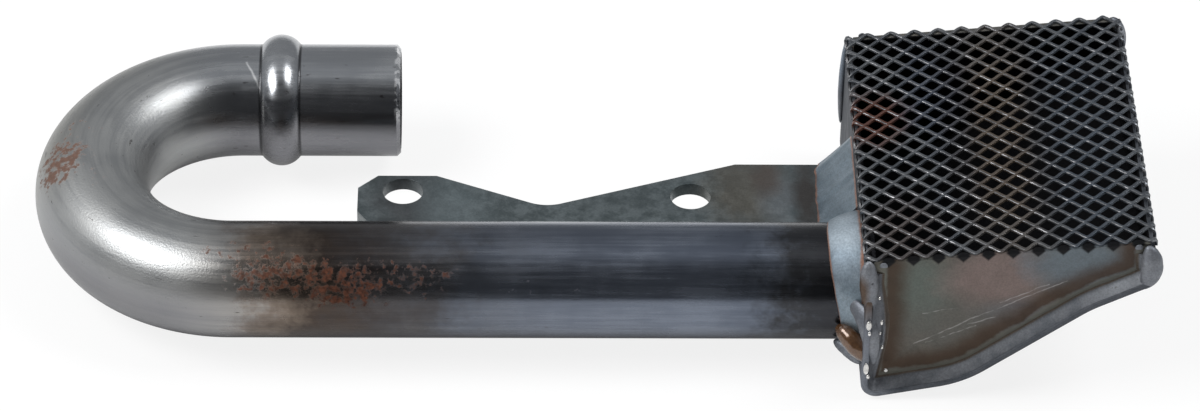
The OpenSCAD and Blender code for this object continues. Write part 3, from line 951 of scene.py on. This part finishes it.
def tube_finish():
    """Drawn steel tube: streaked, heat colours along the leg, pebbled on the bend, rusty in patches;
    painted reflection bands on the outlet, painted shade underneath and along the bead's feet.
    """
    material, shader, place = new_material("tube_finish")
    straight = noted(place.tree, "straight", "Vector")
    along, across, above = xyz(straight)
    tone = streaks(straight, 60.0, 900.0)
    rough_field = rough_edge(place, 110.0, 0.25)
    colour = ramp((rough_field * (35 * MM) - along) / HEAT_L, [
        (0.00, (0.27, 0.255, 0.24)), (0.04, (0.19, 0.158, 0.136)), (0.08, (0.135, 0.108, 0.088)),
        (0.14, (0.056, 0.043, 0.036)), (0.20, (0.056, 0.048, 0.046)), (0.29, (0.078, 0.076, 0.080)),
        (0.38, (0.118, 0.130, 0.155)), (0.50, (0.138, 0.155, 0.190)), (0.70, (0.145, 0.165, 0.205)),
        (0.80, (0.128, 0.146, 0.182)), (0.88, (0.044, 0.046, 0.051)), (0.96, (0.030, 0.030, 0.034))])
    bend = between(along, -6 * MM, 12 * MM)
    outlet = between(along, 76 * MM, 102 * MM)
    colour = blend(bend, colour, (0.33, 0.335, 0.335))
    outer = between(across, 0.0, 9 * MM) * between(above, -2 * MM, 6 * MM)
    outer = outer * between(along, 34 * MM, 52 * MM)
    colour = blend(outer * bend * 0.6, colour, (0.21, 0.205, 0.185))
    # Painted shade on the bend's outer underside, toward the pickup leg
    under = between(across, -2 * MM, 6 * MM) * between(above, 8 * MM, -MM)
    under = under * bend * between(along, 50 * MM, 28 * MM)
    colour = blend(under * 0.8, colour, (0.19, 0.188, 0.198))
    # Outlet's colour by height round the tube: its steel tone with painted reflection bands, lighter just
    # above the middle and near the top
    tone_and_reflection_bands = ramp(above / (2.3 * TUBE_R) + 0.5, [
        (0.05, (0.13, 0.13, 0.14)), (0.32, (0.155, 0.156, 0.168)), (0.58, (0.20, 0.20, 0.212)),
        (0.66, (0.135, 0.138, 0.148)), (0.79, (0.130, 0.134, 0.144)), (0.87, (0.30, 0.31, 0.325)),
        (0.95, (0.33, 0.34, 0.355))])
    colour = blend(outlet, colour, tone_and_reflection_bands)
    # Painted shade on the underside, away from the outlet: a darker colour here and a dimmer reflection
    # through Specular Tint; more pits there too
    shaded_underside = between(above, -4 * MM, -11 * MM) * (1.0 - outlet)
    colour = blend(shaded_underside * 0.6, colour, (0.055, 0.050, 0.054))
    shade = blend(tone, (0.80, 0.81, 0.83), (1.18, 1.17, 1.15))
    colour = blend(between(bend, 0.0, 1.0, 1.0, 0.45), colour, shade, "MULTIPLY")

    envelopes = [blot(place, middle, half, rough_field, 1.0) * amount
                 for middle, half, amount in TUBE_RUST]
    rust = use(FLAKES, Vector=place, Scale=620.0, Amount=joined(*envelopes), Soft=0.15) * 0.9
    red = rust_colour(place, 1100.0)
    brown = blend(0.5, red, (0.17, 0.095, 0.066))
    colour = blend(rust, colour, blend(bend, red, brown))

    long_place = vector_calc("MULTIPLY", straight, (0.3, 1.0, 1.0))
    pit_amount = 0.34 + joined(shaded_underside, bend) * 0.10
    pits = use(FLAKES, Vector=long_place, Scale=800.0, Amount=pit_amount, Soft=0.05)
    colour = blend(pits * 0.75, colour, (0.035, 0.030, 0.028))
    heat = between(along, -105 * MM, -122 * MM)
    flecks = use(FLAKES, Vector=place, Scale=1500.0, Amount=0.20 + heat * 0.18, Soft=0.05)
    colour = blend(flecks * 0.8, colour, (0.36, 0.36, 0.37))
    upper = between(above, 2 * MM, 6 * MM)
    flat = vector_calc("MULTIPLY", place, (1, 1, 0))
    colour = blend(scratches(flat, BEAD_SCRATCHES, 0.32 * MM) * upper, colour, (0.85, 0.85, 0.85))
    # Painted shade: a thin dark line along each foot of the rolled bead
    foot = abs(abs(along - BEAD_S) - (BEAD_W / 2 + 0.1 * MM))
    colour = blend(between(foot, 0.5 * MM, 0.1 * MM, 0.0, 0.85), colour, (0.03, 0.03, 0.032))
    worn = between(along, MOUTH_S - 1.5 * MM, MOUTH_S - 0.9 * MM)
    worn = worn * between(noise(place, 420.0, 3.0), 0.46, 0.56)
    colour = blend(worn * upper, colour, (0.72, 0.72, 0.73))

    frosted = bend * (1.0 - outlet)
    feed(shader, {
        "Base Color": colour,
        "Roughness": between(tone, 0.0, 1.0, 0.20, 0.29) + frosted * 0.17 + rust * 0.35,
        "Metallic": 0.92 - rust * 0.75,
        "Specular IOR Level": between(rust, 0.0, 1.0, 0.5, 0.05),
        # Painted shade: the underside mirrors less
        "Specular Tint": blend(shaded_underside, (1, 1, 1), (0.3, 0.3, 0.32)),
    })
    pebble = noise(place, 2400.0, 1.0) * (frosted * 0.8 + 0.2)
    bump(shader, pebble + rust * 0.4, 0.04 * MM)
    return material


def sheet_finish(name, dark, light, tints, roughness=0.4, scale_and_shade_inside=False, metal=0.8, rim=1.0):
    """Sheet steel: clouded between two tones, with heat tints and dark pits; near black inside the scoop,
    dark scale with painted shade.

    rim is how much a face that is seen at a flat angle mirrors. Returns the material's parts, so that
    more can be laid over its colour.
    """
    material, shader, place = new_material(name, Metallic=metal, Specular_Tint=(rim, rim, rim, 1))
    tone = between(noise(place, 260.0, 5.0, 0.68), 0.34, 0.66)
    colour = tinted(place, blend(tone, dark, light), tints)
    colour = speckled(place, colour, 0.92, 1.07)
    pits = use(FLAKES, Vector=place, Scale=900.0, Amount=0.36, Soft=0.06)
    colour = blend(pits * 0.6, colour, (0.03, 0.028, 0.026))
    # Inside the scoop: dark scale with painted shade, as little light gets into the chamber
    if scale_and_shade_inside:
        colour = blend(inside_scoop(place), colour, INSIDE_BLACK)
    rough = between(tone, 0.0, 1.0, roughness - 0.07, roughness + 0.09)
    feed(shader, {"Base Color": colour, "Roughness": rough})
    bump(shader, noise(place, 1800.0, 2.0), 0.03 * MM)
    return material, shader, place, colour


def below_seat(place):
    """Depth below the screen's seat, and a wave along it: 1 under an opening, 0 under a bond."""
    parts = xyz(place)
    run = parts[0] - SEAT_START[0]
    depth = run * math.tan(SEAT_RISE) + SEAT_START[1] - parts[2]
    start = (LATTICE_SHIFT + SHEET_T) / PITCH_X
    turns = run * (1 / (PITCH_X * math.cos(SEAT_RISE))) + start
    return depth, abs(calc("FRACT", turns) - 0.5) * 2.0


def cheek_finish():
    """Near side plate: heat tints, an olive band and a brown stain along the weld, white scratches."""
    material, shader, place, colour = sheet_finish(
        "cheek_finish", (0.070, 0.068, 0.060), (0.120, 0.112, 0.098), CHEEK_TINTS, 0.42, scale_and_shade_inside=True)
    edge = noted(place.tree, "edge") + (noise(place, 160.0) - 0.5) * (3 * MM)
    front = calc("LESS_THAN", xyz(place)[1], NEAR_Y + SHEET_T / 2)
    stain = between(edge, 2.6 * MM, 3.6 * MM) * between(edge, 9.2 * MM, 4.5 * MM)
    colour = blend(stain * front * 0.85, colour, (0.048, 0.028, 0.017))
    band = between(edge, 3.4 * MM, 2.2 * MM) * front
    colour = blend(band * 0.8, colour, (0.115, 0.112, 0.095))
    # Near-black points on the plate's top edge, below each opening of the screen
    depth, wave = below_seat(place)
    tip = wave * (2.6 * MM) - (depth + 1.1 * MM)
    colour = blend(between(tip, -0.3 * MM, 0.5 * MM), colour, INSIDE_BLACK)
    lines = scratches(place, CHEEK_SCRATCHES, 0.22 * MM)
    feed(shader, {"Base Color": blend(lines * 0.45, colour, (0.48, 0.47, 0.46))})
    return material


def weld_finish(name, dark, light, toe_tint, roughness, pores=0.32, metal=0.88, coat=0.0, tints=()):
    """Weld metal: pale clouds, fine pores, and a line of tint along the toes."""
    material, shader, place = new_material(name, Metallic=metal, Coat_Weight=coat)
    cloud = noise(place, 170.0, 3.0, 0.6)
    colour = tinted(place, blend(between(cloud, 0.35, 0.65), dark, light), tints)
    edge = noted(place.tree, "toe") + (cloud - 0.5) * 0.25
    colour = blend(between(edge, 0.66, 0.86) * 0.85, colour, toe_tint)
    colour = speckled(place, colour)
    holes = use(FLAKES, Vector=place, Scale=1000.0, Amount=pores, Soft=0.05)
    colour = blend(holes * 0.6, colour, (0.05, 0.045, 0.04))
    rough = between(cloud, 0.3, 0.7, roughness, roughness + 0.12)
    feed(shader, {"Base Color": colour, "Roughness": rough})
    bump(shader, noise(place, 1500.0, 3.0), 0.04 * MM)
    return material


def screen_finish():
    """Expanded metal: dark blue-grey with zones of rust, straw and blue temper colour; painted highlights
    on the burr faces.
    """
    material, shader, place = new_material("screen_finish", Metallic=0.85)
    tone = noise(place, 140.0, 4.0)
    colour = blend(between(tone, 0.35, 0.65), (0.09, 0.10, 0.115), (0.17, 0.18, 0.19))
    colour = tinted(place, colour, SCREEN_TINTS, 90.0)
    patchy = between(noise(place, 320.0, 2.0), 0.48, 0.72)
    # Painted highlight: burr faces that look up, near and left get a pale colour, lighter in patches, in
    # place of a lamp's highlight
    painted_glint = blend(patchy, (0.075, 0.076, 0.080), (0.30, 0.30, 0.31))
    colour = blend(between(facing(place, PAINTED_GLINT_FACING), 0.90, 0.96), colour, painted_glint)
    feed(shader, {"Base Color": colour, "Roughness": between(tone, 0.3, 0.7, 0.30, 0.42)})
    return material


def build_pieces():
    """Makes every piece that stands for a node, with its finish."""
    # Ring and stitch weld metal; near the ring it carries a painted highlight and painted shade
    weld = weld_finish("weld_finish", (0.20, 0.25, 0.29), (0.28, 0.33, 0.37), COPPER, 0.50,
                       tints=RING_PAINTED_LIGHT)
    broad = weld_finish("fillet_finish", (0.16, 0.205, 0.24), (0.22, 0.27, 0.31), COPPER, 0.40,
                        pores=0.36)
    lobe = weld_finish("lobe_finish", (0.145, 0.155, 0.175), (0.230, 0.240, 0.260), BROWN, 0.52,
                       pores=0.36, tints=LOBE_TINTS)
    seam = weld_finish("seam_finish", (0.062, 0.068, 0.078), (0.120, 0.126, 0.138), BROWN, 0.56,
                       pores=0.40, metal=0.7, tints=SEAM_TINTS)
    burnt = weld_finish("burnt_finish", (0.060, 0.027, 0.012), (0.12, 0.06, 0.028), BROWN, 0.15,
                        pores=0.0, metal=0.35, coat=0.8)
    bright = weld_finish("spatter_finish", (0.55, 0.54, 0.52), (0.75, 0.74, 0.72), COPPER, 0.18,
                         pores=0.0)
    plate = sheet_finish("bracket_finish", (0.088, 0.108, 0.112), (0.150, 0.175, 0.182), BRACKET_TINTS,
                         0.36)[0]
    strip = sheet_finish("strip_finish", (0.062, 0.069, 0.080), (0.105, 0.112, 0.126), STRIP_TINTS, 0.58,
                         scale_and_shade_inside=True, metal=0.7, rim=0.4)[0]
    far_plate = sheet_finish("far_plate_finish", (0.10, 0.10, 0.092), (0.17, 0.16, 0.142), [], 0.40,
                             scale_and_shade_inside=True)[0]
    finish_piece(tube_skin(), tube_finish(), "tube_steel", "tube")
    finish_piece(eased("bracket", 0.35 * MM), plate, "bracket_steel", "bracket")
    finish_piece(eased("scoop_strip", 0.6 * MM), strip, "scoop_steel", "scoop_strip")
    finish_piece(cheek(), cheek_finish(), "plate_steel", "near_side_plate")
    finish_piece(eased("far_side_plate", 0.2 * MM), far_plate, "plate_steel", "far_side_plate")
    finish_piece(screen_mesh(), screen_finish(), "screen_steel", "screen")
    finish_piece(ring_bead(), weld, "weld_metal", "tube_weld")
    second = drop("second_weld_drop", *SECOND_WELD, seed=63)
    finish_piece(second, burnt, "burnt_weld", "tube_second_weld")
    finish_piece(bracket_end_bead(), broad, "weld_metal", "bracket_end_weld")
    finish_piece(seam_bead("near_seam_bead", NEAR_Y, -1, 41), seam, "weld_metal", "near_seam_weld")
    finish_piece(seam_bead("far_seam_bead", FAR_Y, 1, 47), seam, "weld_metal", "far_seam_weld")
    finish_piece(drop("ring_weld_flow", *RING_FLOW, seed=61), lobe, "weld_metal")
    for name, shape in LOBES.items():
        finish_piece(drop(name, *shape, seed=67), lobe, "weld_metal")
    finish_piece(spatter(), bright, "weld_metal")
    stitch_low, stitch_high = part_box("bracket_stitch_welds")
    first = stitch_bead("stitch_bead_first", stitch_low[0], 51)
    finish_piece(first, weld, "weld_metal", "bracket_stitch_welds")
    finish_piece(stitch_bead("stitch_bead_second", stitch_high[0] - STITCH_L, 53), weld, "weld_metal")
    finish_piece(tack_caps(), lobe, "weld_metal", "screen_tack_welds")


def studio():
    """Pale floor under the part, a soft box at each side, a room that is darkest behind the camera."""
    scene = bpy.context.scene
    scene.view_settings.view_transform = "Standard"
    corners = FLOOR_HALF * np.array([[-1, -1, 0], [1, -1, 0], [1, 1, 0], [-1, 1, 0]])
    floor_mesh = bpy.data.meshes.new("floor")
    floor_mesh.from_pydata((corners + [0, 0, cad_box[0][2]]).tolist(), [], [[0, 1, 2, 3]])
    floor = link("floor", floor_mesh)
    paint = {"Base_Color": (0.86, 0.86, 0.86, 1), "Roughness": 0.9, "Specular_IOR_Level": 0.0}
    material, shader, place = new_material("floor_paint", **paint)
    seen, mirrored, through = (put(place.tree, "LightPath", {}, "Is " + ray + " Ray")
                               for ray in ("Camera", "Glossy", "Transmission"))
    share = joined(seen * 0.85, joined(mirrored, through) * 0.3)
    glow = put(place.tree, "Emission", {"Color": (1, 1, 1, 1), "Strength": 1.0})
    mixed = put(place.tree, "MixShader", {0: share, 1: Field(shader.outputs[0]), 2: glow})
    feed(place.tree.nodes["Material Output"], {"Surface": mixed})
    floor_mesh.materials.append(material)

    world = bpy.data.worlds.new("room")
    scene.world = world
    world.use_nodes = True
    room = world.node_tree
    depth = xyz(put(room, "TexCoord", {}, "Generated"))[1]
    front = between(depth, -0.5, 0.05, 0.09, 0.5)
    back = between(depth, 0.15, 0.75, 1.0, 0.75)
    feed(room.nodes["Background"], {"Color": (0.93, 0.96, 1.0, 1), "Strength": front * back})

    for name, azimuth, elevation, distance, wide, tall, power in LAMPS:
        lamp = bpy.data.lights.new(name, "AREA")
        lamp.shape = "RECTANGLE"
        lamp.size = wide
        lamp.size_y = tall
        lamp.energy = power
        holder = link(name, lamp)
        a = math.radians(azimuth)
        e = math.radians(elevation)
        direction = Vector((math.sin(a) * math.cos(e), math.cos(a) * math.cos(e), math.sin(e)))
        holder.location = direction * distance
        holder.rotation_euler = direction.to_track_quat("Z", "Y").to_euler()


def photo_camera():
    """Camera of the photograph."""
    lens = bpy.data.cameras.new("photo_camera")
    lens.sensor_fit = "HORIZONTAL"
    lens.sensor_width = SENSOR_WIDTH
    lens.lens = CAMERA_LENS
    lens.clip_start = 0.01
    camera = link("photo_camera", lens)
    right = Vector(CAMERA_RIGHT).normalized()
    up = Vector(CAMERA_UP).normalized()
    back = right.cross(up).normalized()
    turn = Matrix((right, up, back)).transposed().to_4x4()
    camera.matrix_world = Matrix.Translation(CAMERA_AT) @ turn
    bpy.context.scene.camera = camera


photo_camera()
studio()
build_pieces()

bpy.context.view_layer.update()
